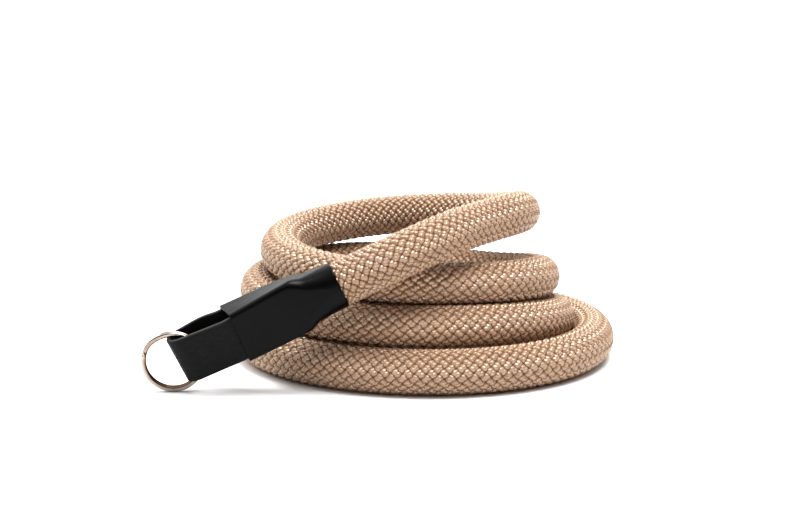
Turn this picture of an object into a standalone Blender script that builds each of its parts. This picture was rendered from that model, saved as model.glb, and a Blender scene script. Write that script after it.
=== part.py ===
"""Camera neck strap: a braided rope coiled on a table, with a sleeve, a leather loop and a
split ring at each end. Metres, +Z up, standing on z = 0, origin under the middle of the box."""
import math

import bpy
import numpy as np
from mathutils import Matrix, Vector

MM = 0.001

# The coil is laid out in millimetres around its own middle, then moved by SHIFT.
SHIFT = (10.05, -2.5, 0.0)

# rope
ROPE_RADIUS = 5.5
ROPE_END_RADIUS = 4.9
ROPE_IN_SLEEVE = 7.2
ROPE_STEP = 6.0

# One row for about each quarter turn. Turn 0 is at the back, and the rope runs clockwise seen from
# above: back, right, front, left.
COIL = (
    # turn, centre_x, radius, height
    (0.00, -3.0, 47.0, 5.8),
    (0.25, -1.5, 46.2, 5.5),
    (0.50, 0.0, 45.5, 5.5),
    (0.75, -2.5, 43.5, 5.5),
    (1.00, -3.0, 35.5, 5.8),
    (1.25, -3.0, 37.0, 10.1),
    (1.40, -3.3, 38.3, 13.9),
    (1.50, -3.5, 38.4, 14.95),
    (1.62, -4.0, 37.8, 15.35),
    (1.75, -4.5, 40.3, 17.8),
    (1.87, -4.5, 37.6, 19.1),
    (1.96, -3.8, 34.0, 19.0),
    (2.10, 1.0, 26.5, 18.3),
    (2.25, -0.3, 30.2, 21.05),
    (2.40, -3.0, 33.0, 23.9),
    (2.55, -4.0, 33.2, 25.3),
    (2.75, -4.5, 34.8, 28.2),
    (3.00, -5.5, 36.0, 32.45),
    (3.13, -5.5, 33.2, 34.9),
    (3.25, -5.5, 30.2, 38.2),
)
COIL_FROM = 0.125
COIL_TO = 3.25
COIL_POINTS_PER_TURN = 24

# the rope's top end comes forward over the coil and down to the front sleeve
FREE_END = (
    (21.0, -15.0, 39.7),
    (13.0, -25.0, 39.0),
    (5.0, -34.3, 37.8),
    (-7.0, -42.5, 33.8),
)

# sleeve, in the fitting's own frame: a runs from the mouth to the ring, w across the leather,
# n through it
SLEEVE_LENGTH = 28.5
SLEEVE_ROUND = 7.0
SLEEVE_STEP = 3.5
SLEEVE_RADIUS = 5.8
SLEEVE_WALL = 0.55
BOX_HALF_W = 6.7
BOX_HALF_N = 4.9
BOX_CORNER = 1.3
MIDDLE_N = BOX_HALF_N - SLEEVE_RADIUS
CORNER_POINTS = 7

# leather loop
LEATHER = 1.1
LOOP_HALF_WIDTH = 5.85
LOOP_HALF_N = 4.05
LOOP_TIP = 15.0
LOOP_INSIDE = 8.0

# split ring: two flat windings side by side
RING_OUTER = 7.7
RING_WIRE = 1.2
RING_WIRE_AXIAL = 0.88
RING_PITCH = 1.0
RING_CENTRE = 16.1
HINGE = 12.1
RING_END_GAP = 0.07
RING_JOG = 0.12
RING_POINTS_PER_TURN = 40

FRONT_RING_AT = (-62.6, -43.9, 7.8)
FRONT_AXIS = (-0.907, 0.0, -0.421)
FRONT_ROLL = ((-20.0, 0.0), (0.0, -16.0), (15.0, -9.0))
FRONT_RING_ROLL = -9.0
# the front mouth is cut askew: shift along a, its slope over n, its slope over w
FRONT_MOUTH_CUT = (-0.5, 0.314, 0.082)
RING_END_AT = 42.0

BACK_SLEEVE_END = (1.8, 48.3, SLEEVE_RADIUS)
BACK_ROLL = ((0.0, 0.0),)
BACK_MOUTH_CUT = (0.0, 0.0, 0.0)
BACK_RING_DROP = 18.6


def clear_scene():
    for obj in list(bpy.data.objects):
        bpy.data.objects.remove(obj, do_unlink=True)


def new_collection(name):
    collection = bpy.data.collections.new(name)
    bpy.context.scene.collection.children.link(collection)
    return collection


def material(name, colour, metallic, roughness):
    mat = bpy.data.materials.new(name)
    mat.use_nodes = True
    shader = mat.node_tree.nodes["Principled BSDF"]
    shader.inputs["Base Color"].default_value = (*colour, 1.0)
    shader.inputs["Metallic"].default_value = metallic
    shader.inputs["Roughness"].default_value = roughness
    mat.diffuse_color = (*colour, 1.0)
    return mat


def natural_spline(knots, values):
    """A smooth curve through the values, straight at both ends."""
    knots = np.asarray(knots, float)
    values = np.asarray(values, float)
    count = len(knots)
    gap = np.diff(knots)
    system = np.eye(count)
    right = np.zeros_like(values)
    for i in range(1, count - 1):
        system[i, i - 1] = gap[i - 1]
        system[i, i] = 2.0 * (gap[i - 1] + gap[i])
        system[i, i + 1] = gap[i]
        after = (values[i + 1] - values[i]) / gap[i]
        before = (values[i] - values[i - 1]) / gap[i - 1]
        right[i] = 6.0 * (after - before)
    bend = np.linalg.solve(system, right)

    def at(where):
        where = np.asarray(where, float)
        i = np.clip(np.searchsorted(knots, where, side="right") - 1, 0, count - 2)
        step = gap[i][:, None]
        gone = (where - knots[i])[:, None]
        left = step - gone
        cubic = (bend[i] * left ** 3 + bend[i + 1] * gone ** 3) / (6.0 * step)
        start = (values[i] / step - bend[i] * step / 6.0) * left
        end = (values[i + 1] / step - bend[i + 1] * step / 6.0) * gone
        return cubic + start + end

    return at


def coil_points():
    """Points along the coil, worked out turn by turn."""
    table = np.array(COIL)
    shape = natural_spline(table[:, 0], table[:, 1:])
    count = round((COIL_TO - COIL_FROM) * COIL_POINTS_PER_TURN)
    turns = np.linspace(COIL_FROM, COIL_TO, count + 1)
    centre_x, radius, height = shape(turns).T
    angle = math.pi / 2.0 - 2.0 * math.pi * turns
    x = centre_x + radius * np.cos(angle)
    y = radius * np.sin(angle)
    return np.column_stack((x, y, np.maximum(height, ROPE_RADIUS)))


def fitting_frame(axis, up_hint, origin):
    """Columns a, n, w and the mouth's middle; n points away from the up_hint's front."""
    a = Vector(axis).normalized()
    n = (Vector(up_hint) - a * a.dot(Vector(up_hint))).normalized()
    w = a.cross(n)
    frame = Matrix((a, n, w)).transposed().to_4x4()
    frame.translation = Vector(origin)
    return frame


def turned(frame, degrees):
    """The same frame rolled about its own axis a."""
    return frame @ Matrix.Rotation(math.radians(degrees), 4, "X")


def front_frame():
    frame = fitting_frame(FRONT_AXIS, (0.0, 1.0, 0.0), (0.0, 0.0, 0.0))
    middle = turned(frame, FRONT_RING_ROLL) @ Vector((RING_CENTRE, MIDDLE_N, 0.0))
    frame.translation = Vector(FRONT_RING_AT) - middle
    return frame


def back_frame():
    mouth = Vector(BACK_SLEEVE_END) - Vector((SLEEVE_LENGTH, 0.0, 0.0))
    return fitting_frame((-1.0, 0.0, 0.0), (0.0, 0.0, 1.0), mouth)


def rope_in_sleeve(frame):
    """Three points on the rope's middle line: its end, half way, and the sleeve's edge."""
    edge = -SLEEVE_LENGTH
    where = (edge + ROPE_IN_SLEEVE, edge + ROPE_IN_SLEEVE / 2.0, edge)
    return np.array([frame @ Vector((a, 0.0, 0.0)) for a in where])


def rope_route():
    """Middle line of the rope, end to end, and the rope's radius at every point."""
    back = rope_in_sleeve(back_frame())
    front = rope_in_sleeve(front_frame())
    through = np.vstack((back, coil_points(), np.array(FREE_END), front[::-1]))
    chords = np.linalg.norm(np.diff(through, axis=0), axis=1)
    knots = np.concatenate(((0.0,), np.cumsum(chords)))
    fine = natural_spline(knots, through)(np.linspace(0.0, knots[-1], 4001))
    pieces = np.linalg.norm(np.diff(fine, axis=0), axis=1)
    run = np.concatenate(((0.0,), np.cumsum(pieces)))
    ends = (0.0, ROPE_IN_SLEEVE / 2.0, ROPE_IN_SLEEVE - 0.2, ROPE_IN_SLEEVE + 1.6)
    count = round((run[-1] - 28.0) / ROPE_STEP)
    middle = np.linspace(14.0, run[-1] - 14.0, count + 1)
    stations = np.concatenate((ends, middle, run[-1] - np.array(ends[::-1])))
    points = np.column_stack([np.interp(stations, run, fine[:, k]) for k in range(3)])
    radii = np.full(len(stations), ROPE_RADIUS)
    radii[:3] = ROPE_END_RADIUS
    radii[-3:] = ROPE_END_RADIUS
    return points, radii


def poly_tube(name, points, radii, depth, sides, cyclic=False):
    """A curve object through the points, beveled to a closed tube."""
    curve = bpy.data.curves.new(name, "CURVE")
    curve.dimensions = "3D"
    curve.bevel_depth = depth
    curve.bevel_resolution = sides
    curve.use_fill_caps = True
    spline = curve.splines.new("POLY")
    spline.points.add(len(points) - 1)
    for slot, place, radius in zip(spline.points, points, radii):
        slot.co = (*place, 1.0)
        slot.radius = radius
    spline.use_cyclic_u = cyclic
    return bpy.data.objects.new(name, curve)


def add_rope(collection, mat):
    points, radii = rope_route()
    points = (points + np.array(SHIFT)) * MM
    rope = poly_tube("rope", points, radii / ROPE_RADIUS, ROPE_RADIUS * MM, 4)
    rope.data.materials.append(mat)
    collection.objects.link(rope)


def rounded_box(half_w, half_n, corner):
    """Points (n, w) round a box with rounded corners."""
    outline = []
    for quarter in range(4):
        sign_n = 1.0 if quarter in (0, 3) else -1.0
        sign_w = 1.0 if quarter in (0, 1) else -1.0
        for k in range(CORNER_POINTS):
            angle = math.radians(90.0 * quarter + 90.0 * k / (CORNER_POINTS - 1))
            n = sign_n * (half_n - corner) + corner * math.cos(angle)
            w = sign_w * (half_w - corner) + corner * math.sin(angle)
            outline.append((n, w))
    return outline


def roll_at(a, roll):
    return float(np.interp(a, [row[0] for row in roll], [row[1] for row in roll]))


def sleeve_sections():
    """Rows of a, half_w, half_n, corner, middle_n from the rope's end to the mouth."""
    round_end = -SLEEVE_LENGTH + SLEEVE_ROUND
    round_part = (SLEEVE_RADIUS, SLEEVE_RADIUS, SLEEVE_RADIUS - 0.3, 0.0)
    box_part = (BOX_HALF_W, BOX_HALF_N, BOX_CORNER, MIDDLE_N)
    rows = [(-SLEEVE_LENGTH, *round_part), (-SLEEVE_LENGTH + 4.0, *round_part)]
    for k in range(6):
        share = k / 5.0
        blend = share * share * (3.0 - 2.0 * share)
        mixed = [p + (q - p) * blend for p, q in zip(round_part, box_part)]
        rows.append((round_end + SLEEVE_STEP * share, *mixed))
    for a in (-14.0, -11.0, -8.0, -4.0, 0.0):
        rows.append((a, *box_part))
    return rows


def loft(name, rings):
    """An open surface through closed outlines with the same number of points."""
    count = len(rings[0])
    verts = [tuple(place) for ring in rings for place in ring]
    faces = []
    for row in range(len(rings) - 1):
        for k in range(count):
            near = row * count + k
            side = row * count + (k + 1) % count
            faces.append((near, side, side + count, near + count))
    mesh = bpy.data.meshes.new(name)
    mesh.from_pydata(verts, [], faces)
    mesh.update()
    return bpy.data.objects.new(name, mesh)


def thicken(obj, thickness, offset):
    solid = obj.modifiers.new("thickness", "SOLIDIFY")
    solid.thickness = thickness
    solid.offset = offset
    solid.use_even_offset = True
    solid.use_rim = True


def in_model(frame, local):
    return (frame @ Vector(local) + Vector(SHIFT)) * MM


def add_sleeve(collection, name, frame, roll, cut, mat):
    rings = []
    for a, half_w, half_n, corner, middle in sleeve_sections():
        shift, over_n, over_w = cut if a == 0.0 else (0.0, 0.0, 0.0)
        ring = []
        for n, w in rounded_box(half_w, half_n, corner):
            place = a + shift + over_n * n + over_w * w
            rolled = turned(frame, roll_at(place, roll))
            ring.append(in_model(rolled, (place, n + middle, w)))
        rings.append(ring)
    sleeve = loft(name, rings)
    thicken(sleeve, SLEEVE_WALL * MM, -1.0)
    sleeve.data.materials.append(mat)
    collection.objects.link(sleeve)


def loop_path():
    """Middle line (a, n) of the leather: front ply, round fold, back ply."""
    half = LOOP_HALF_N - LEATHER / 2.0
    centre = LOOP_TIP - LOOP_HALF_N
    front = [(a, -half) for a in (-LOOP_INSIDE, -4.0, 0.0, 4.0, 8.0)]
    fold = []
    for k in range(17):
        angle = math.radians(-90.0 + 180.0 * k / 16)
        fold.append((centre + half * math.cos(angle), half * math.sin(angle)))
    bulge = ((8.0, 0.8), (4.8, 0.85), (1.8, 0.0), (-4.0, 0.0), (-LOOP_INSIDE, 0.0))
    back = [(a, half + out) for a, out in bulge]
    return front + fold + back


def add_loop(collection, name, frame, roll, mat):
    path = loop_path()
    across = [LOOP_HALF_WIDTH * k / 2.0 for k in (-2, -1, 0, 1, 2)]
    verts = []
    for a, n in path:
        rolled = turned(frame, roll_at(a, roll))
        for w in across:
            verts.append(tuple(in_model(rolled, (a, n + MIDDLE_N, w))))
    mesh = bpy.data.meshes.new(name)
    columns = len(across)
    faces = []
    for row in range(len(path) - 1):
        for k in range(columns - 1):
            near = row * columns + k
            faces.append((near, near + 1, near + 1 + columns, near + columns))
    mesh.from_pydata(verts, [], faces)
    mesh.update()
    loop = bpy.data.objects.new(name, mesh)
    thicken(loop, LEATHER * MM, 0.0)
    loop.data.materials.append(mat)
    collection.objects.link(loop)


def ring_line(end_at):
    """Middle line of the split ring's wire: x along a, y along n, z along w."""
    radius = RING_OUTER - RING_WIRE / 2.0
    turns = 2.0 - 2.0 * RING_END_GAP
    count = round(turns * RING_POINTS_PER_TURN)
    points = []
    for k in range(count + 1):
        t = RING_END_GAP + turns * k / count
        step = min(max((t - 1.0) / RING_JOG + 0.5, 0.0), 1.0)
        step = step * step * (3.0 - 2.0 * step)
        angle = math.radians(end_at) + 2.0 * math.pi * (t + RING_END_GAP)
        side = RING_PITCH * (0.5 - step)
        points.append((radius * math.cos(angle), side, -radius * math.sin(angle)))
    return points


def add_ring(collection, name, frame, drop, mat):
    """The ring stands with its origin on the hinge line inside the leather's fold."""
    points = ring_line(RING_END_AT)
    reach = RING_CENTRE - HINGE
    squeeze = RING_WIRE_AXIAL / RING_WIRE
    local = [((x + reach) * MM, y * MM / squeeze, z * MM) for x, y, z in points]
    ones = [1.0] * len(local)
    wire = poly_tube(name + "_wire", local, ones, RING_WIRE * MM / 2.0, 3)
    mesh = bpy.data.meshes.new_from_object(wire)
    bpy.data.objects.remove(wire, do_unlink=True)
    mesh.transform(Matrix.Diagonal((1.0, squeeze, 1.0, 1.0)))
    ring = bpy.data.objects.new(name, mesh)
    hinge = frame @ Matrix.Translation((HINGE, MIDDLE_N, 0.0))
    hinge = hinge @ Matrix.Rotation(math.radians(drop), 4, "Z")
    hinge.translation = (hinge.translation + Vector(SHIFT)) * MM
    ring.matrix_world = hinge
    ring.data.materials.clear()
    ring.data.materials.append(mat)
    collection.objects.link(ring)


def build():
    clear_scene()
    strap = new_collection("camera_neck_strap")
    rope_mat = material("rope_cord", (0.42, 0.27, 0.18), 0.0, 0.6)
    add_rope(strap, rope_mat)
    for side, frame, roll, cut, ring_roll, drop in (
        ("front", front_frame(), FRONT_ROLL, FRONT_MOUTH_CUT, FRONT_RING_ROLL, 0.0),
        ("back", back_frame(), BACK_ROLL, BACK_MOUTH_CUT, 0.0, -BACK_RING_DROP),
    ):
        sleeve_mat = material("sleeve_" + side + "_vinyl", (0.018, 0.018, 0.018), 0.0, 0.35)
        loop_mat = material("loop_" + side + "_leather", (0.014, 0.014, 0.014), 0.0, 0.55)
        ring_mat = material("ring_" + side + "_steel", (0.72, 0.68, 0.64), 1.0, 0.2)
        add_sleeve(strap, "sleeve_" + side, frame, roll, cut, sleeve_mat)
        add_loop(strap, "loop_" + side, frame, roll, loop_mat)
        add_ring(strap, "ring_" + side, turned(frame, ring_roll), drop, ring_mat)


build()
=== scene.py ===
"""Looks of the coiled camera neck strap: rope, black sleeves, leather loops and split rings."""
import math

import bmesh
import bpy
import numpy as np
from mathutils import Matrix, Vector

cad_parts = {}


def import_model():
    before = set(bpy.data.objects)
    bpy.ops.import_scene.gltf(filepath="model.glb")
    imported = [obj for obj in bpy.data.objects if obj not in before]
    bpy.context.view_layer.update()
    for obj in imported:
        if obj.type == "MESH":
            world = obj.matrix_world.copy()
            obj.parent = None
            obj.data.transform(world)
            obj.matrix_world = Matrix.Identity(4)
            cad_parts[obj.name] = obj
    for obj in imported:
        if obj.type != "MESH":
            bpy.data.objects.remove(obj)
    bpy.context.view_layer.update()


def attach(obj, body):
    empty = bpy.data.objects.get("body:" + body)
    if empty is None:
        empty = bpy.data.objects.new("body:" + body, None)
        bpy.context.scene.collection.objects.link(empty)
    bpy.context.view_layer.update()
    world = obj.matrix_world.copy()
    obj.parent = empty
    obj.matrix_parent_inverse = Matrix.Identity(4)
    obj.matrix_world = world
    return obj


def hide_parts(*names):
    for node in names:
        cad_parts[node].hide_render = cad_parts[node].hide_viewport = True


MM = 0.001

# Layout, repeated from the part's source. Millimetres around the coil's middle, moved by SHIFT.
SHIFT = (10.05, -2.5, 0.0)

ROPE_RADIUS = 5.5
ROPE_END_RADIUS = 4.9
ROPE_IN_SLEEVE = 7.2
COIL = (
    # turn, centre_x, radius, height
    (0.00, -3.0, 47.0, 5.8),
    (0.25, -1.5, 46.2, 5.5),
    (0.50, 0.0, 45.5, 5.5),
    (0.75, -2.5, 43.5, 5.5),
    (1.00, -3.0, 35.5, 5.8),
    (1.25, -3.0, 37.0, 10.1),
    (1.40, -3.3, 38.3, 13.9),
    (1.50, -3.5, 38.4, 14.95),
    (1.62, -4.0, 37.8, 15.35),
    (1.75, -4.5, 40.3, 17.8),
    (1.87, -4.5, 37.6, 19.1),
    (1.96, -3.8, 34.0, 19.0),
    (2.10, 1.0, 26.5, 18.3),
    (2.25, -0.3, 30.2, 21.05),
    (2.40, -3.0, 33.0, 23.9),
    (2.55, -4.0, 33.2, 25.3),
    (2.75, -4.5, 34.8, 28.2),
    (3.00, -5.5, 36.0, 32.45),
    (3.13, -5.5, 33.2, 34.9),
    (3.25, -5.5, 30.2, 38.2),
)
COIL_FROM = 0.125
COIL_TO = 3.25
COIL_POINTS_PER_TURN = 24
FREE_END = (
    (21.0, -15.0, 39.7),
    (13.0, -25.0, 39.0),
    (5.0, -34.3, 37.8),
    (-7.0, -42.5, 33.8),
)

SLEEVE_LENGTH = 28.5
SLEEVE_ROUND = 7.0
SLEEVE_STEP = 3.5
SLEEVE_RADIUS = 5.8
SLEEVE_WALL = 0.55
BOX_HALF_W = 6.7
BOX_HALF_N = 4.9
BOX_CORNER = 1.3
MIDDLE_N = BOX_HALF_N - SLEEVE_RADIUS
SLEEVE_END_CORNER = 5.4
SLEEVE_END_BELLY = 0.7
SLEEVE_BELLY_REACH = 6.0
MOUTH_CUT_REACH = 4.0

LEATHER = 1.1
LEATHER_CORNER = 0.28
LOOP_HALF_WIDTH = 5.85
LOOP_HALF_N = 4.05
LOOP_TIP = 15.0
LOOP_INSIDE = 8.0
LOOP_STRAIGHT_TO = 1.8
LOOP_BULGE = (
    # a, outward
    (LOOP_TIP - LOOP_HALF_N, 0.0),
    (8.0, 0.8),
    (4.8, 0.85),
    (LOOP_STRAIGHT_TO, 0.0),
    (-LOOP_INSIDE, 0.0),
)

RING_OUTER = 7.7
RING_WIRE = 1.2
RING_WIRE_AXIAL = 0.88
RING_PITCH = 1.0
RING_CENTRE = 16.1
HINGE = 12.1
RING_END_GAP = 0.07
RING_JOG = 0.12
RING_END_AT = 42.0

# Shares of its full thickness that the wire has at its first points from each end, and the
# power that makes its round section squarer.
RING_TIPS = (0.72, 0.9, 0.98)
WIRE_SQUARE = 0.8

FRONT_RING_AT = (-62.6, -43.9, 7.8)
FRONT_AXIS = (-0.907, 0.0, -0.421)
FRONT_ROLL = ((-20.0, 0.0), (0.0, -16.0), (15.0, -9.0))
FRONT_RING_ROLL = -9.0
FRONT_MOUTH_CUT = (-0.5, 0.314, 0.082)
BACK_SLEEVE_END = (1.8, 48.3, SLEEVE_RADIUS)
BACK_ROLL = ((0.0, 0.0),)
BACK_MOUTH_CUT = (0.0, 0.0, 0.0)
BACK_RING_DROP = 18.6

# Braid: yarns that run each way round the rope, length of one braid cell along it, between
# which distances from the free end the cells get shorter, the mesh's steps across a cell, and
# how many points the rope's line and the spacing of its rings are worked out at.
YARNS = 13
CELL = 2.6
CELL_AT_FREE_END = 2.25
CELL_SHORTENS = (150.0, 70.0)
CELL_STEPS = 3
LINE_POINTS = 8001
STATION_SAMPLES = 400

# How far a yarn rises where it crosses over another, how far its own crown stands out, how
# square that crown is, and the mean height, which is taken off again.
WEAVE_RISE = 0.30
YARN_RISE = 0.32
YARN_SQUARE = 2.6
BRAID_MEAN = 0.42

# The yarns as the material shows them. Widths are in cells, and a height of 1 is BRAID_BUMP
# millimetres. CREASE_HEIGHT is the step between two yarns at which a seam's shading ends.
STRANDS = 2.0
STRAND_HEIGHT = 0.28
YARN_WIDTH = 1.16
CROWN_POWER = 6.0
CROWN_HEIGHT = 0.30
ARCH_POWER = 1.7
ARCH_HEIGHT = 0.68
CREASE_HEIGHT = 0.56
FIBRES_ACROSS = 14.0
FIBRES_ALONG = 1.4
FIBRE_SLANT = 0.22
BRAID_BUMP = 0.72
# The darker stops are painted shade in the seams and low places of the braid; the top stop is the
# yarn's own colour.
ROPE_TONES_AND_SEAM_SHADE = (
    # share of the way up out of the seams, colour
    (0.0, (0.082, 0.026, 0.009)),
    (0.35, (0.168, 0.071, 0.032)),
    (0.75, (0.308, 0.182, 0.111)),
    (1.0, (0.343, 0.209, 0.131)),
)

# A noise's usual lowest and highest value.
NOISE_SPAN = (0.3, 0.7)

# Mesh steps and texture lengths of the fittings.
SLEEVE_COLUMNS = 96
SLEEVE_ROW_GAP = 0.45
SLEEVE_UV_STEP = 0.42
SLEEVE_RIM = 0.8
WIDTH_PIECES = 8
RING_STEPS = 300
RING_SIDES = 20
RING_UV_TURN = 45.0

# Camera, in millimetres and degrees.
CAMERA_AT = (1.95, -401.3, 95.6)
CAMERA_DOWN = 10.2
CAMERA_LENS = 68.0
SENSOR_WIDTH = 36.0

# Stage and lights, in metres and watts. The sky is brightest above and behind, so the side
# towards the camera is darker.
FLOOR_HALF = 40.0
SKY_AXIS = (-0.20, 0.48, 0.85)
SKY_LEVELS = ((0.0, 0.15), (0.2, 0.48), (0.5, 0.95), (0.8, 1.35), (1.0, 1.6))
SKY_STRENGTH = 4.0
LIGHT_TARGET = (0.0, 0.0, 0.02)
LIGHTS = (
    # name, place, size, power
    ("key_light", (0.10, -0.06, 0.66), (0.46, 0.40), 6.2),
    ("side_light", (-0.45, 0.20, 0.45), (0.40, 0.30), 0.6),
)


# Camera

def add_camera():
    data = bpy.data.cameras.new("camera")
    data.sensor_width = SENSOR_WIDTH
    data.lens = CAMERA_LENS
    data.clip_start = 0.01
    camera = bpy.data.objects.new("camera", data)
    camera.location = Vector(CAMERA_AT) * MM
    camera.rotation_euler = (math.radians(90.0 - CAMERA_DOWN), 0.0, 0.0)
    bpy.context.scene.collection.objects.link(camera)
    bpy.context.scene.camera = camera


# The rope's route

def natural_spline(knots, values):
    """A cubic curve through the values, with no bend at its two ends."""
    knots = np.asarray(knots, float)
    values = np.asarray(values, float)
    count = len(knots)
    gap = np.diff(knots)
    system = np.eye(count)
    right = np.zeros_like(values)
    for i in range(1, count - 1):
        system[i, i - 1] = gap[i - 1]
        system[i, i] = 2.0 * (gap[i - 1] + gap[i])
        system[i, i + 1] = gap[i]
        after = (values[i + 1] - values[i]) / gap[i]
        before = (values[i] - values[i - 1]) / gap[i - 1]
        right[i] = 6.0 * (after - before)
    bend = np.linalg.solve(system, right)

    def at(where):
        where = np.asarray(where, float)
        i = np.clip(np.searchsorted(knots, where, side="right") - 1, 0, count - 2)
        step = gap[i][:, None]
        gone = (where - knots[i])[:, None]
        left = step - gone
        cubic = (bend[i] * left ** 3 + bend[i + 1] * gone ** 3) / (6.0 * step)
        start = (values[i] / step - bend[i] * step / 6.0) * left
        end = (values[i + 1] / step - bend[i + 1] * step / 6.0) * gone
        return cubic + start + end

    return at


def coil_points():
    table = np.array(COIL)
    shape = natural_spline(table[:, 0], table[:, 1:])
    count = round((COIL_TO - COIL_FROM) * COIL_POINTS_PER_TURN)
    turns = np.linspace(COIL_FROM, COIL_TO, count + 1)
    centre_x, radius, height = shape(turns).T
    angle = math.pi / 2.0 - 2.0 * math.pi * turns
    x = centre_x + radius * np.cos(angle)
    y = radius * np.sin(angle)
    return np.column_stack((x, y, np.maximum(height, ROPE_RADIUS)))


def fitting_frame(axis, up_hint, origin):
    a = Vector(axis).normalized()
    n = (Vector(up_hint) - a * a.dot(Vector(up_hint))).normalized()
    w = a.cross(n)
    frame = Matrix((a, n, w)).transposed().to_4x4()
    frame.translation = Vector(origin)
    return frame


def turned(frame, degrees):
    return frame @ Matrix.Rotation(math.radians(degrees), 4, "X")


def front_frame():
    frame = fitting_frame(FRONT_AXIS, (0.0, 1.0, 0.0), (0.0, 0.0, 0.0))
    middle = turned(frame, FRONT_RING_ROLL) @ Vector((RING_CENTRE, MIDDLE_N, 0.0))
    frame.translation = Vector(FRONT_RING_AT) - middle
    return frame


def back_frame():
    mouth = Vector(BACK_SLEEVE_END) - Vector((SLEEVE_LENGTH, 0.0, 0.0))
    return fitting_frame((-1.0, 0.0, 0.0), (0.0, 0.0, 1.0), mouth)


def rope_in_sleeve(frame):
    edge = -SLEEVE_LENGTH
    where = (edge + ROPE_IN_SLEEVE, edge + ROPE_IN_SLEEVE / 2.0, edge)
    return np.array([frame @ Vector((a, 0.0, 0.0)) for a in where])


def rope_line():
    """A dense middle line of the rope and the length run at each of its points."""
    back = rope_in_sleeve(back_frame())
    front = rope_in_sleeve(front_frame())
    through = np.vstack((back, coil_points(), np.array(FREE_END), front[::-1]))
    chords = np.linalg.norm(np.diff(through, axis=0), axis=1)
    knots = np.concatenate(((0.0,), np.cumsum(chords)))
    fine = natural_spline(knots, through)(np.linspace(0.0, knots[-1], LINE_POINTS))
    pieces = np.linalg.norm(np.diff(fine, axis=0), axis=1)
    run = np.concatenate(((0.0,), np.cumsum(pieces)))
    return fine + np.array(SHIFT), run


# Mesh objects

def turn_outward(mesh):
    work = bmesh.new()
    work.from_mesh(mesh)
    bmesh.ops.recalc_face_normals(work, faces=work.faces)
    work.to_mesh(mesh)
    work.free()


def mesh_object(name, verts, faces, layer_name, uvs, mat):
    """A smooth mesh in the scene. uvs holds one pair for each corner of each face."""
    mesh = bpy.data.meshes.new(name)
    mesh.from_pydata([tuple(v) for v in verts], [], faces)
    layer = mesh.uv_layers.new(name=layer_name)
    layer.data.foreach_set("uv", np.array(uvs, np.float32).ravel())
    turn_outward(mesh)
    mesh.shade_smooth()
    mesh.update()
    obj = bpy.data.objects.new(name, mesh)
    obj.data.materials.append(mat)
    bpy.context.scene.collection.objects.link(obj)
    return obj


# The braided rope

def braid_height(across, along):
    """Height of the braid's surface at lattice coordinates; whole numbers are crossings."""
    first = np.round(across)
    second = np.round(along)
    sign = 1.0 - 2.0 * np.mod(first + second, 2.0)
    off_first = across - first
    off_second = along - second
    over = WEAVE_RISE * sign * np.cos(np.pi * off_second)
    over += YARN_RISE * (1.0 - np.abs(2.0 * off_first) ** YARN_SQUARE)
    under = -WEAVE_RISE * sign * np.cos(np.pi * off_first)
    under += YARN_RISE * (1.0 - np.abs(2.0 * off_second) ** YARN_SQUARE)
    return np.maximum(over, under)


def carried_frames(points):
    """Two directions square to the line at every point, carried along without twist."""
    tangents = np.gradient(points, axis=0)
    tangents /= np.linalg.norm(tangents, axis=1)[:, None]
    side = np.cross(tangents[0], (0.0, 0.0, 1.0))
    side /= np.linalg.norm(side)
    sides = np.empty_like(points)
    for i, tangent in enumerate(tangents):
        side = side - tangent * side.dot(tangent)
        side /= np.linalg.norm(side)
        sides[i] = side
    return sides, np.cross(tangents, sides)


def ring_stations(length):
    """Places of the mesh's rings. The braid is denser towards the free end."""
    where = np.linspace(0.0, length, STATION_SAMPLES)
    shortens = [length - left for left in CELL_SHORTENS]
    cell = np.interp(where, shortens, (CELL, CELL_AT_FREE_END))
    rate = 2.0 * CELL_STEPS / cell
    steps = (rate[1:] + rate[:-1]) / 2.0 * np.diff(where)
    count = np.concatenate(((0.0,), np.cumsum(steps)))
    return np.interp(np.linspace(0.0, count[-1], int(count[-1]) + 1), count, where)


def lattice(row, summed):
    """Where a point of the mesh lies in the braid. These are its texture coordinates too."""
    step = 2.0 * CELL_STEPS
    return (summed + row + 1.0) / step, (summed - row + 1.0) / step


def braid_verts(path, radius):
    around = YARNS * CELL_STEPS
    sides, ups = carried_frames(path)
    ring = np.arange(len(path))[:, None]
    total = 2 * np.arange(around)[None, :] + ring % 2
    height = braid_height(*lattice(ring, total)) - BRAID_MEAN
    angle = np.pi * total / around
    reach = radius[:, None] + height
    verts = (
        path[:, None, :]
        + sides[:, None, :] * (reach * np.cos(angle))[..., None]
        + ups[:, None, :] * (reach * np.sin(angle))[..., None]
    ).reshape(-1, 3)
    return np.vstack((verts, path[0], path[-1])) * MM


def braid_faces(rings):
    """Faces over all rings and both ends, with texture coordinates for each corner."""
    around = YARNS * CELL_STEPS
    faces = []
    uvs = []

    def index(row, summed):
        return row * around + ((summed - row % 2) // 2) % around

    def add(*corners):
        faces.append([index(row, summed) for row, summed in corners])
        uvs.extend(lattice(row, summed) for row, summed in corners)

    def add_cap(middle, start, end, place):
        faces.append([middle, index(*start), index(*end)])
        uvs.extend([lattice(*place)] * 3)

    for row in range(1, rings - 1):
        for k in range(around):
            summed = 2 * k + row % 2
            add((row, summed), (row + 1, summed + 1), (row, summed + 2), (row - 1, summed + 1))
    last = rings - 1
    middle = rings * around
    for k in range(around):
        here, after = (0, 2 * k), (0, 2 * k + 2)
        add(here, (1, 2 * k + 1), after)
        add_cap(middle, here, after, here)
        summed = 2 * k + last % 2
        here, after = (last, summed), (last, summed + 2)
        add(here, after, (last - 1, summed + 1))
        add_cap(middle + 1, after, here, here)
    return faces, uvs


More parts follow.
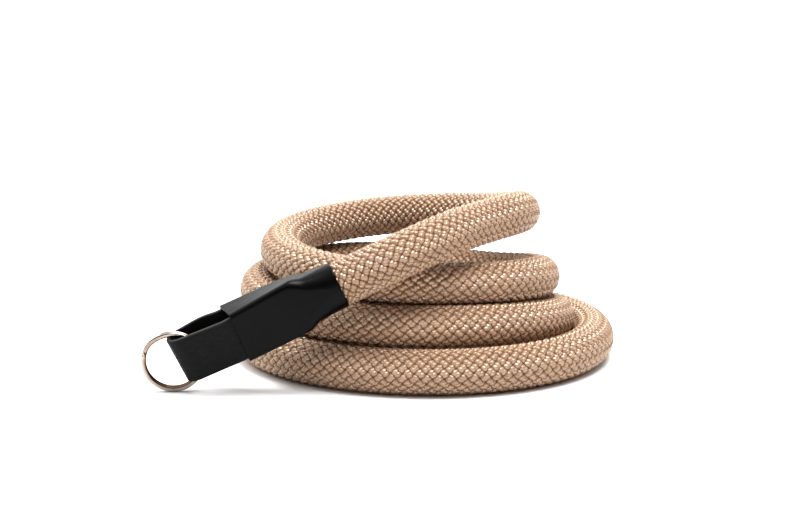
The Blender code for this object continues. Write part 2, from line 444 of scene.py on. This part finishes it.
def add_rope():
    fine, run = rope_line()
    length = run[-1]
    stations = ring_stations(length)
    path = np.column_stack([np.interp(stations, run, fine[:, k]) for k in range(3)])
    ends = (0.0, ROPE_IN_SLEEVE - 0.2, ROPE_IN_SLEEVE + 1.4)
    from_end = np.minimum(stations, length - stations)
    radius = np.interp(from_end, ends, (ROPE_END_RADIUS, ROPE_END_RADIUS, ROPE_RADIUS))
    faces, uvs = braid_faces(len(path))
    verts = braid_verts(path, radius)
    rope = mesh_object("braided_rope", verts, faces, "braid", uvs, braid_material())
    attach(rope, "root")
    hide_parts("rope")


# Sleeves, loops and rings

def in_model(frame, local):
    return (frame @ Vector(local) + Vector(SHIFT)) * MM


def roll_at(a, roll):
    return float(np.interp(a, [row[0] for row in roll], [row[1] for row in roll]))


def smooth_share(value, low, high):
    share = min(max((value - low) / (high - low), 0.0), 1.0)
    return share * share * (3.0 - 2.0 * share)


def rounded_box(half_w, half_n, corner, per_corner):
    outline = []
    for quarter in range(4):
        sign_n = 1.0 if quarter in (0, 3) else -1.0
        sign_w = 1.0 if quarter in (0, 1) else -1.0
        for k in range(per_corner):
            angle = math.radians(90.0 * quarter + 90.0 * k / (per_corner - 1))
            n = sign_n * (half_n - corner) + corner * math.cos(angle)
            w = sign_w * (half_w - corner) + corner * math.sin(angle)
            outline.append((n, w))
    return outline


def resampled(outline, count):
    """The same closed outline with evenly spread points, the first one kept."""
    points = np.array(outline + outline[:1])
    steps = np.linalg.norm(np.diff(points, axis=0), axis=1)
    run = np.concatenate(((0.0,), np.cumsum(steps)))
    where = np.linspace(0.0, run[-1], count + 1)[:-1]
    return np.column_stack([np.interp(where, run, points[:, k]) for k in range(2)])


def sleeve_size(a):
    """half_w, half_n, corner and middle_n of the sleeve's outside at a."""
    start = -SLEEVE_LENGTH + SLEEVE_ROUND
    blend = smooth_share(a, start, start + SLEEVE_STEP)
    round_part = (SLEEVE_RADIUS, SLEEVE_RADIUS, 0.0)
    box_part = (BOX_HALF_W, BOX_HALF_N, MIDDLE_N)
    half_w, half_n, middle = (p + (q - p) * blend for p, q in zip(round_part, box_part))
    softness = smooth_share(a, -SLEEVE_LENGTH, start + SLEEVE_STEP + 2.0)
    corner = SLEEVE_END_CORNER + (BOX_CORNER - SLEEVE_END_CORNER) * softness
    return half_w, half_n, corner, middle


def fitting_object(name, verts, faces, uvs, mat):
    """A fitting's mesh, whose uvs hold one pair for each vertex."""
    return mesh_object(name, verts, faces, "surface", [uvs[v] for face in faces for v in face], mat)


def tube_grid(rows, columns, close_rows):
    """Faces of a skin that closes round its columns, and round its rows too if asked."""
    faces = []
    for row in range(rows if close_rows else rows - 1):
        after = (row + 1) % rows
        for k in range(columns):
            side = (k + 1) % columns
            faces.append((row * columns + k, row * columns + side,
                          after * columns + side, after * columns + k))
    return faces


def capped_grid(rows, columns):
    """The faces of an open tube, with one more over each end."""
    faces = tube_grid(rows, columns, False)
    faces.append(tuple(range(columns))[::-1])
    last = (rows - 1) * columns
    faces.append(tuple(last + k for k in range(columns)))
    return faces


def sleeve_rows():
    """Rows of the sleeve's skin, from the rope's end round the mouth and back inside.

    A row is its place along the sleeve and how far it lies in from the outside.
    """
    edge = SLEEVE_WALL / 2.0
    quarter = math.pi / 2.0
    rows = [(-SLEEVE_LENGTH + edge * (1.0 - math.cos(t)), edge * (1.0 - math.sin(t)))
            for t in np.linspace(0.0, quarter, 5)]
    rows += [(a, 0.0) for a in np.arange(-SLEEVE_LENGTH + SLEEVE_RIM, -0.5, SLEEVE_ROW_GAP)]
    rows += [(-edge + edge * math.sin(t), edge * (1.0 - math.cos(t)))
             for t in np.linspace(0.0, quarter, 5)]
    rows += [(-edge + edge * math.cos(t), edge + edge * math.sin(t))
             for t in np.linspace(0.2, quarter, 4)]
    rows += [(a, SLEEVE_WALL) for a in np.linspace(-1.0, -SLEEVE_LENGTH + SLEEVE_RIM, 30)]
    rows += [(-SLEEVE_LENGTH + edge * (1.0 - math.sin(t)), edge * (1.0 + math.cos(t)))
             for t in np.linspace(0.2, quarter - 0.3, 3)]
    return rows


def sleeve_outline(a, inset):
    """The n and w of points round the sleeve at a, and the n of its middle."""
    half_w, half_n, corner, middle = sleeve_size(a)
    outline = rounded_box(half_w - inset, half_n - inset, max(corner - inset, 0.2), 12)
    return resampled(outline, SLEEVE_COLUMNS), middle


def sleeve_place(a, n, w, cut):
    """The place along the sleeve, with its askew mouth and the belly of its round end."""
    share = min(max((a + MOUTH_CUT_REACH) / MOUTH_CUT_REACH, 0.0), 1.0)
    place = a + share * (cut[0] + cut[1] * n + cut[2] * w)
    bow = 1.5 * smooth_share(-n / SLEEVE_RADIUS, -0.1, 0.7) - 0.5
    belly = SLEEVE_END_BELLY * bow
    return place - belly * smooth_share(-a, SLEEVE_LENGTH - SLEEVE_BELLY_REACH, SLEEVE_LENGTH)


def add_sleeve(name, node, frame, roll, cut, mat):
    rows = sleeve_rows()
    verts = []
    uvs = []
    for a, inset in rows:
        outline, middle = sleeve_outline(a, inset)
        for k, (n, w) in enumerate(outline):
            place = sleeve_place(a, n, w, cut)
            rolled = turned(frame, roll_at(place, roll))
            verts.append(in_model(rolled, (place, n + middle, w)))
            uvs.append((a, k * SLEEVE_UV_STEP))
    faces = tube_grid(len(rows), SLEEVE_COLUMNS, True)
    sleeve = fitting_object(name, verts, faces, uvs, mat)
    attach(sleeve, "root")
    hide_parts(node)


def loop_path():
    """The strip's middle line: one ply, the fold, and a ply that bulges before it ends straight."""
    half = LOOP_HALF_N - LEATHER / 2.0
    centre = LOOP_TIP - LOOP_HALF_N
    front = [(a, -half) for a in np.linspace(-LOOP_INSIDE, 10.0, 25)]
    fold = []
    for k in range(33):
        angle = math.radians(-90.0 + 180.0 * k / 32)
        fold.append((centre + half * math.cos(angle), half * math.sin(angle)))
    spread = natural_spline([-a for a, out in LOOP_BULGE], [[out] for a, out in LOOP_BULGE])
    back = []
    for a in np.linspace(centre - 0.7, -LOOP_INSIDE, 26):
        out = float(spread(np.array([-a]))[0, 0]) if a > LOOP_STRAIGHT_TO else 0.0
        back.append((a, half + out))
    return front + fold + back


def refine_width(section):
    """Extra points on the two long sides of the strip's section."""
    out = []
    for here, after in zip(section, section[1:] + section[:1]):
        out.append(here)
        if abs(here[1] - after[1]) > 2.0:
            for k in range(1, WIDTH_PIECES):
                share = k / WIDTH_PIECES
                out.append((here[0] + (after[0] - here[0]) * share,
                            here[1] + (after[1] - here[1]) * share))
    return out


def add_loop(name, node, frame, roll, mat):
    path = np.array(loop_path())
    tangent = np.gradient(path, axis=0)
    tangent /= np.linalg.norm(tangent, axis=1)[:, None]
    outward = np.column_stack((tangent[:, 1], -tangent[:, 0]))
    section = refine_width(rounded_box(LOOP_HALF_WIDTH, LEATHER / 2.0, LEATHER_CORNER, 5))
    run = np.concatenate(((0.0,), np.cumsum(np.linalg.norm(np.diff(path, axis=0), axis=1))))
    verts = []
    uvs = []
    for (a, n), out, gone in zip(path, outward, run):
        for thick, w in section:
            at_a = a + out[0] * thick
            at_n = n + out[1] * thick + MIDDLE_N
            rolled = turned(frame, roll_at(at_a, roll))
            verts.append(in_model(rolled, (at_a, at_n, w)))
            uvs.append((gone, w))
    faces = capped_grid(len(path), len(section))
    loop = fitting_object(name, verts, faces, uvs, mat)
    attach(loop, "root")
    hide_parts(node)


def squared(value):
    """Pushes a round section a little towards a box with round corners."""
    return math.copysign(abs(value) ** WIRE_SQUARE, value)


def ring_point(t, turn, shrink):
    """A point on the wire's skin, t turns along the wire. Measured from the hinge."""
    radius = RING_OUTER - RING_WIRE / 2.0
    step = smooth_share((t - 1.0) / RING_JOG + 0.5, 0.0, 1.0)
    angle = math.radians(RING_END_AT) + 2.0 * math.pi * (t + RING_END_GAP)
    out = radius + shrink * squared(math.cos(turn)) * RING_WIRE / 2.0
    y = RING_PITCH * (0.5 - step) + shrink * squared(math.sin(turn)) * RING_WIRE_AXIAL / 2.0
    reach = RING_CENTRE - HINGE
    return out * math.cos(angle) + reach, y, -out * math.sin(angle)


def add_ring(name, node, body, frame, drop, mat):
    turns = 2.0 - 2.0 * RING_END_GAP
    hinge = frame @ Matrix.Translation((HINGE, MIDDLE_N, 0.0))
    hinge = hinge @ Matrix.Rotation(math.radians(drop), 4, "Z")
    verts = []
    uvs = []
    for k in range(RING_STEPS + 1):
        t = RING_END_GAP + turns * k / RING_STEPS
        near_end = min(k, RING_STEPS - k)
        shrink = RING_TIPS[near_end] if near_end < len(RING_TIPS) else 1.0
        for j in range(RING_SIDES):
            turn = 2.0 * math.pi * j / RING_SIDES
            verts.append(in_model(hinge, ring_point(t, turn, shrink)))
            uvs.append((t * RING_UV_TURN, math.cos(turn)))
    faces = capped_grid(RING_STEPS + 1, RING_SIDES)
    ring = fitting_object(name, verts, faces, uvs, mat)
    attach(ring, body)
    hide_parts(node)


# Materials

class Nodes:
    """Short calls for the node trees below."""

    def __init__(self, name):
        self.mat = bpy.data.materials.new(name)
        self.mat.use_nodes = True
        self.tree = self.mat.node_tree
        self.shader = self.tree.nodes["Principled BSDF"]

    def put(self, socket, value):
        if isinstance(value, bpy.types.NodeSocket):
            self.tree.links.new(value, socket)
        else:
            socket.default_value = value

    def math(self, operation, *values):
        node = self.tree.nodes.new("ShaderNodeMath")
        node.operation = operation
        for socket, value in zip(node.inputs, values):
            self.put(socket, value)
        return node.outputs[0]

    def uv(self, name):
        node = self.tree.nodes.new("ShaderNodeUVMap")
        node.uv_map = name
        split = self.tree.nodes.new("ShaderNodeSeparateXYZ")
        self.tree.links.new(node.outputs[0], split.inputs[0])
        return split.outputs[0], split.outputs[1]

    def vector(self, x, y, z=0.0):
        node = self.tree.nodes.new("ShaderNodeCombineXYZ")
        for socket, value in zip(node.inputs, (x, y, z)):
            self.put(socket, value)
        return node.outputs[0]

    def noise(self, vector, scale, detail=2.0, rough=0.5):
        node = self.tree.nodes.new("ShaderNodeTexNoise")
        self.put(node.inputs["Vector"], vector)
        node.inputs["Scale"].default_value = scale
        node.inputs["Detail"].default_value = detail
        node.inputs["Roughness"].default_value = rough
        return node.outputs["Fac"]

    def position(self):
        return self.tree.nodes.new("ShaderNodeTexCoord").outputs["Object"]

    def ramp(self, fac, stops):
        node = self.tree.nodes.new("ShaderNodeValToRGB")
        ramp = node.color_ramp
        while len(ramp.elements) < len(stops):
            ramp.elements.new(0.5)
        for element, (place, colour) in zip(ramp.elements, stops):
            element.position = place
            element.color = (*colour, 1.0)
        self.put(node.inputs[0], fac)
        return node.outputs[0]

    def between(self, value, low, high, to_low=0.0, to_high=1.0):
        node = self.tree.nodes.new("ShaderNodeMapRange")
        node.clamp = True
        for socket, number in zip(node.inputs, (value, low, high, to_low, to_high)):
            self.put(socket, number)
        return node.outputs[0]

    def spread(self, noise, to_low, to_high):
        """A noise's usual span, carried over to two values."""
        return self.between(noise, *NOISE_SPAN, to_low, to_high)

    def shades(self, noise, dark, light):
        """Two colours, blended over a noise's usual span."""
        return self.ramp(noise, tuple(zip(NOISE_SPAN, (dark, light))))

    def mix(self, fac, first, second):
        node = self.tree.nodes.new("ShaderNodeMix")
        node.data_type = "RGBA"
        self.put(node.inputs["Factor"], fac)
        self.put(node.inputs[6], first)
        self.put(node.inputs[7], second)
        return node.outputs[2]

    def bump(self, height, distance):
        node = self.tree.nodes.new("ShaderNodeBump")
        node.inputs["Strength"].default_value = 1.0
        node.inputs["Distance"].default_value = distance
        self.put(node.inputs["Height"], height)
        return node.outputs[0]

    def scale(self, vector, factor):
        node = self.tree.nodes.new("ShaderNodeVectorMath")
        node.operation = "SCALE"
        self.put(node.inputs[0], vector)
        self.put(node.inputs["Scale"], factor)
        return node.outputs[0]

    def finish(self, **inputs):
        for name, value in inputs.items():
            self.put(self.shader.inputs[name.replace("_", " ")], value)
        return self.mat


def braid_heights(g, one, two, near_one, near_two):
    """Heights of the yarns that run one way and of those that run the other, with strands."""
    parity = g.math("FLOORED_MODULO", g.math("ADD", near_one, near_two), 2.0)
    sign = g.math("SUBTRACT", 1.0, g.math("MULTIPLY", parity, 2.0))
    off_one = g.math("SUBTRACT", one, near_one)
    off_two = g.math("SUBTRACT", two, near_two)

    def dome(off, power, amount):
        bent = g.math("POWER", g.math("ABSOLUTE", g.math("MULTIPLY", off, 2.0)), power)
        return g.math("MULTIPLY", g.math("SUBTRACT", 1.0, bent), amount)

    def crown(off):
        narrow = g.math("DIVIDE", off, YARN_WIDTH)
        place = g.math("FRACT", g.math("MULTIPLY", g.math("ADD", narrow, 0.5), STRANDS))
        strands = dome(g.math("SUBTRACT", place, 0.5), 2.0, STRAND_HEIGHT)
        return g.math("ADD", dome(narrow, CROWN_POWER, CROWN_HEIGHT), strands)

    def higher(arch, off):
        """A yarn or the next one beside it, whichever stands higher."""
        beside = g.math("SUBTRACT", 1.0, g.math("ABSOLUTE", off))
        return g.math("MAXIMUM", g.math("ADD", arch, crown(off)),
                      g.math("SUBTRACT", crown(beside), arch))

    arch_one = g.math("MULTIPLY", dome(off_two, ARCH_POWER, ARCH_HEIGHT), sign)
    arch_two = g.math("MULTIPLY", dome(off_one, ARCH_POWER, ARCH_HEIGHT), sign)
    arch_two = g.math("MULTIPLY", arch_two, -1.0)
    return higher(arch_one, off_one), higher(arch_two, off_two)


def braid_material():
    g = Nodes("braided_cord")
    one, two = g.uv("braid")
    near_one = g.math("ROUND", one)
    near_two = g.math("ROUND", two)
    first, second = braid_heights(g, one, two, near_one, near_two)
    height = g.math("MAXIMUM", first, second)
    on_top = g.math("GREATER_THAN", first, second)
    below = g.math("SUBTRACT", 1.0, on_top)

    across = g.math("ADD", g.math("MULTIPLY", one, on_top), g.math("MULTIPLY", two, below))
    along = g.math("ADD", g.math("MULTIPLY", two, on_top), g.math("MULTIPLY", one, below))
    slanted = g.math("ADD", across, g.math("MULTIPLY", along, FIBRE_SLANT))
    fibres = g.noise(g.vector(g.math("MULTIPLY", slanted, FIBRES_ACROSS),
                              g.math("MULTIPLY", along, FIBRES_ALONG), on_top), 1.0, 3.0, 0.6)
    cell = g.noise(g.vector(near_one, near_two, on_top), 0.83, 0.0)
    patch = g.noise(g.position(), 60.0, 2.0)

    # Painted shade: the colour darkens towards the seams between yarns and where the surface lies
    # low. The same share also makes the seams rougher.
    apart = g.math("ABSOLUTE", g.math("SUBTRACT", first, second))
    crease = g.between(apart, 0.0, CREASE_HEIGHT)
    out_of_seam_shade = g.math("MULTIPLY", g.between(height, 0.15, 0.95), crease)
    shade = g.math("ADD", g.spread(fibres, 0.90, 1.08), g.spread(cell, -0.06, 0.06))
    shade = g.math("MULTIPLY", shade, g.spread(patch, 0.95, 1.05))
    relief = g.math("ADD", height, g.math("MULTIPLY", fibres, 0.02))
    shine = g.spread(fibres, 0.40, 0.31)
    return g.finish(
        Base_Color=g.scale(g.ramp(out_of_seam_shade, ROPE_TONES_AND_SEAM_SHADE), shade),
        Normal=g.bump(relief, BRAID_BUMP * MM),
        Roughness=g.math("ADD", shine, g.between(out_of_seam_shade, 0.0, 0.5, 0.5, 0.0)),
        Specular_IOR_Level=1.0, IOR=1.75, Specular_Tint=(1.0, 0.85, 0.69, 1.0),
        Sheen_Weight=0.1, Sheen_Roughness=0.4, Sheen_Tint=(1.0, 0.85, 0.7, 1.0),
    )


def vinyl_material():
    g = Nodes("sleeve_vinyl")
    place = g.position()
    fine = g.noise(place, 2600.0, 2.0)
    soft = g.noise(place, 160.0, 2.0)
    relief = g.math("ADD", g.math("MULTIPLY", fine, 0.02), g.math("MULTIPLY", soft, 0.5))
    return g.finish(
        Base_Color=g.shades(soft, (0.0017, 0.0017, 0.0017), (0.0029, 0.0028, 0.0027)),
        Normal=g.bump(relief, 0.4 * MM),
        Roughness=g.spread(soft, 0.26, 0.33), Specular_IOR_Level=0.115,
    )


def leather_material():
    g = Nodes("loop_leather")
    along, across = g.uv("surface")
    streak = g.noise(g.vector(g.math("MULTIPLY", along, 0.35), g.math("MULTIPLY", across, 3.2)),
                     1.0, 4.0, 0.65)
    pores = g.noise(g.position(), 2200.0, 3.0, 0.6)
    edge = g.between(g.math("ABSOLUTE", across), LOOP_HALF_WIDTH - 0.35, LOOP_HALF_WIDTH)
    base = g.shades(streak, (0.003, 0.003, 0.003), (0.009, 0.0088, 0.0086))
    base = g.mix(edge, base, (0.035, 0.033, 0.032, 1.0))
    relief = g.math("ADD", g.math("MULTIPLY", streak, 0.12), g.math("MULTIPLY", pores, 0.04))
    return g.finish(
        Base_Color=base, Normal=g.bump(relief, 0.5 * MM),
        Roughness=g.spread(streak, 0.62, 0.5), Specular_IOR_Level=0.13,
    )


def steel_material():
    g = Nodes("ring_steel")
    along, outward = g.uv("surface")
    lines = g.noise(g.vector(g.math("MULTIPLY", along, 0.15), g.math("MULTIPLY", outward, 9.0)),
                    1.0, 3.0)
    wear = g.noise(g.position(), 900.0, 3.0)
    bright = g.shades(wear, (0.38, 0.33, 0.29), (0.47, 0.42, 0.375))
    # Painted shade and painted reflection of the brown rope: the wire's inner side and the stretch
    # where it steps from one winding to the other are blended towards dark brown.
    inner = g.between(outward, -0.6, 0.35, 1.0, 0.0)
    crossing = g.math("ABSOLUTE", g.math("SUBTRACT", along, RING_UV_TURN))
    painted_shade = g.math("MAXIMUM", inner, g.between(crossing, 1.5, 6.0, 0.6, 0.0))
    return g.finish(
        Base_Color=g.mix(painted_shade, bright, (0.15, 0.10, 0.07, 1.0)),
        Metallic=1.0, Roughness=g.spread(wear, 0.10, 0.18),
        Normal=g.bump(lines, 0.01 * MM), Specular_Tint=(0.45, 0.40, 0.36, 1.0),
    )


# Stage

def add_floor():
    mesh = bpy.data.meshes.new("floor")
    half = FLOOR_HALF
    corners = [(-half, -half, 0.0), (half, -half, 0.0), (half, half, 0.0), (-half, half, 0.0)]
    mesh.from_pydata(corners, [], [(0, 1, 2, 3)])
    floor = bpy.data.objects.new("floor", mesh)
    bpy.context.scene.collection.objects.link(floor)
    g = Nodes("floor")
    grain = g.noise(g.position(), 30.0, 2.0)
    floor.data.materials.append(g.finish(
        Base_Color=g.shades(grain, (0.90, 0.90, 0.90), (0.92, 0.92, 0.92)),
        Roughness=0.9, Specular_IOR_Level=0.1,
    ))


def add_area_light(name, place, size, power):
    data = bpy.data.lights.new(name, "AREA")
    data.shape = "RECTANGLE"
    data.size, data.size_y = size
    data.energy = power
    light = bpy.data.objects.new(name, data)
    light.location = place
    direction = Vector(LIGHT_TARGET) - Vector(place)
    light.rotation_euler = direction.to_track_quat("-Z", "Y").to_euler()
    bpy.context.scene.collection.objects.link(light)


def add_sky():
    """A grey sky, as bright as SKY_LEVELS says for a direction's share along SKY_AXIS."""
    world = bpy.data.worlds.new("world")
    bpy.context.scene.world = world
    world.use_nodes = True
    tree = world.node_tree
    place = tree.nodes.new("ShaderNodeTexCoord")
    share = tree.nodes.new("ShaderNodeVectorMath")
    share.operation = "DOT_PRODUCT"
    share.inputs[1].default_value = SKY_AXIS
    ramp = tree.nodes.new("ShaderNodeValToRGB")
    elements = ramp.color_ramp.elements
    while len(elements) < len(SKY_LEVELS):
        elements.new(0.5)
    for element, (where, level) in zip(elements, SKY_LEVELS):
        element.position = where
        grey = level / SKY_STRENGTH
        element.color = (grey, grey, grey, 1.0)
    background = tree.nodes["Background"]
    background.inputs["Strength"].default_value = SKY_STRENGTH
    tree.links.new(place.outputs["Generated"], share.inputs[0])
    tree.links.new(share.outputs["Value"], ramp.inputs[0])
    tree.links.new(ramp.outputs[0], background.inputs["Color"])


def add_lights():
    add_sky()
    for row in LIGHTS:
        add_area_light(*row)
    bpy.context.scene.view_settings.view_transform = "Standard"
    bpy.context.scene.view_settings.look = "Medium High Contrast"


def main():
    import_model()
    add_camera()
    add_rope()
    vinyl = vinyl_material()
    leather = leather_material()
    steel = steel_material()
    for side, frame, roll, cut, ring_roll, drop in (
        ("front", front_frame(), FRONT_ROLL, FRONT_MOUTH_CUT, FRONT_RING_ROLL, 0.0),
        ("back", back_frame(), BACK_ROLL, BACK_MOUTH_CUT, 0.0, -BACK_RING_DROP),
    ):
        add_sleeve("wrap_" + side, "sleeve_" + side, frame, roll, cut, vinyl)
        add_loop("strip_" + side, "loop_" + side, frame, roll, leather)
        add_ring("split_ring_" + side, "ring_" + side, "ring_" + side,
                 turned(frame, ring_roll), drop, steel)
    add_floor()
    add_lights()


main()
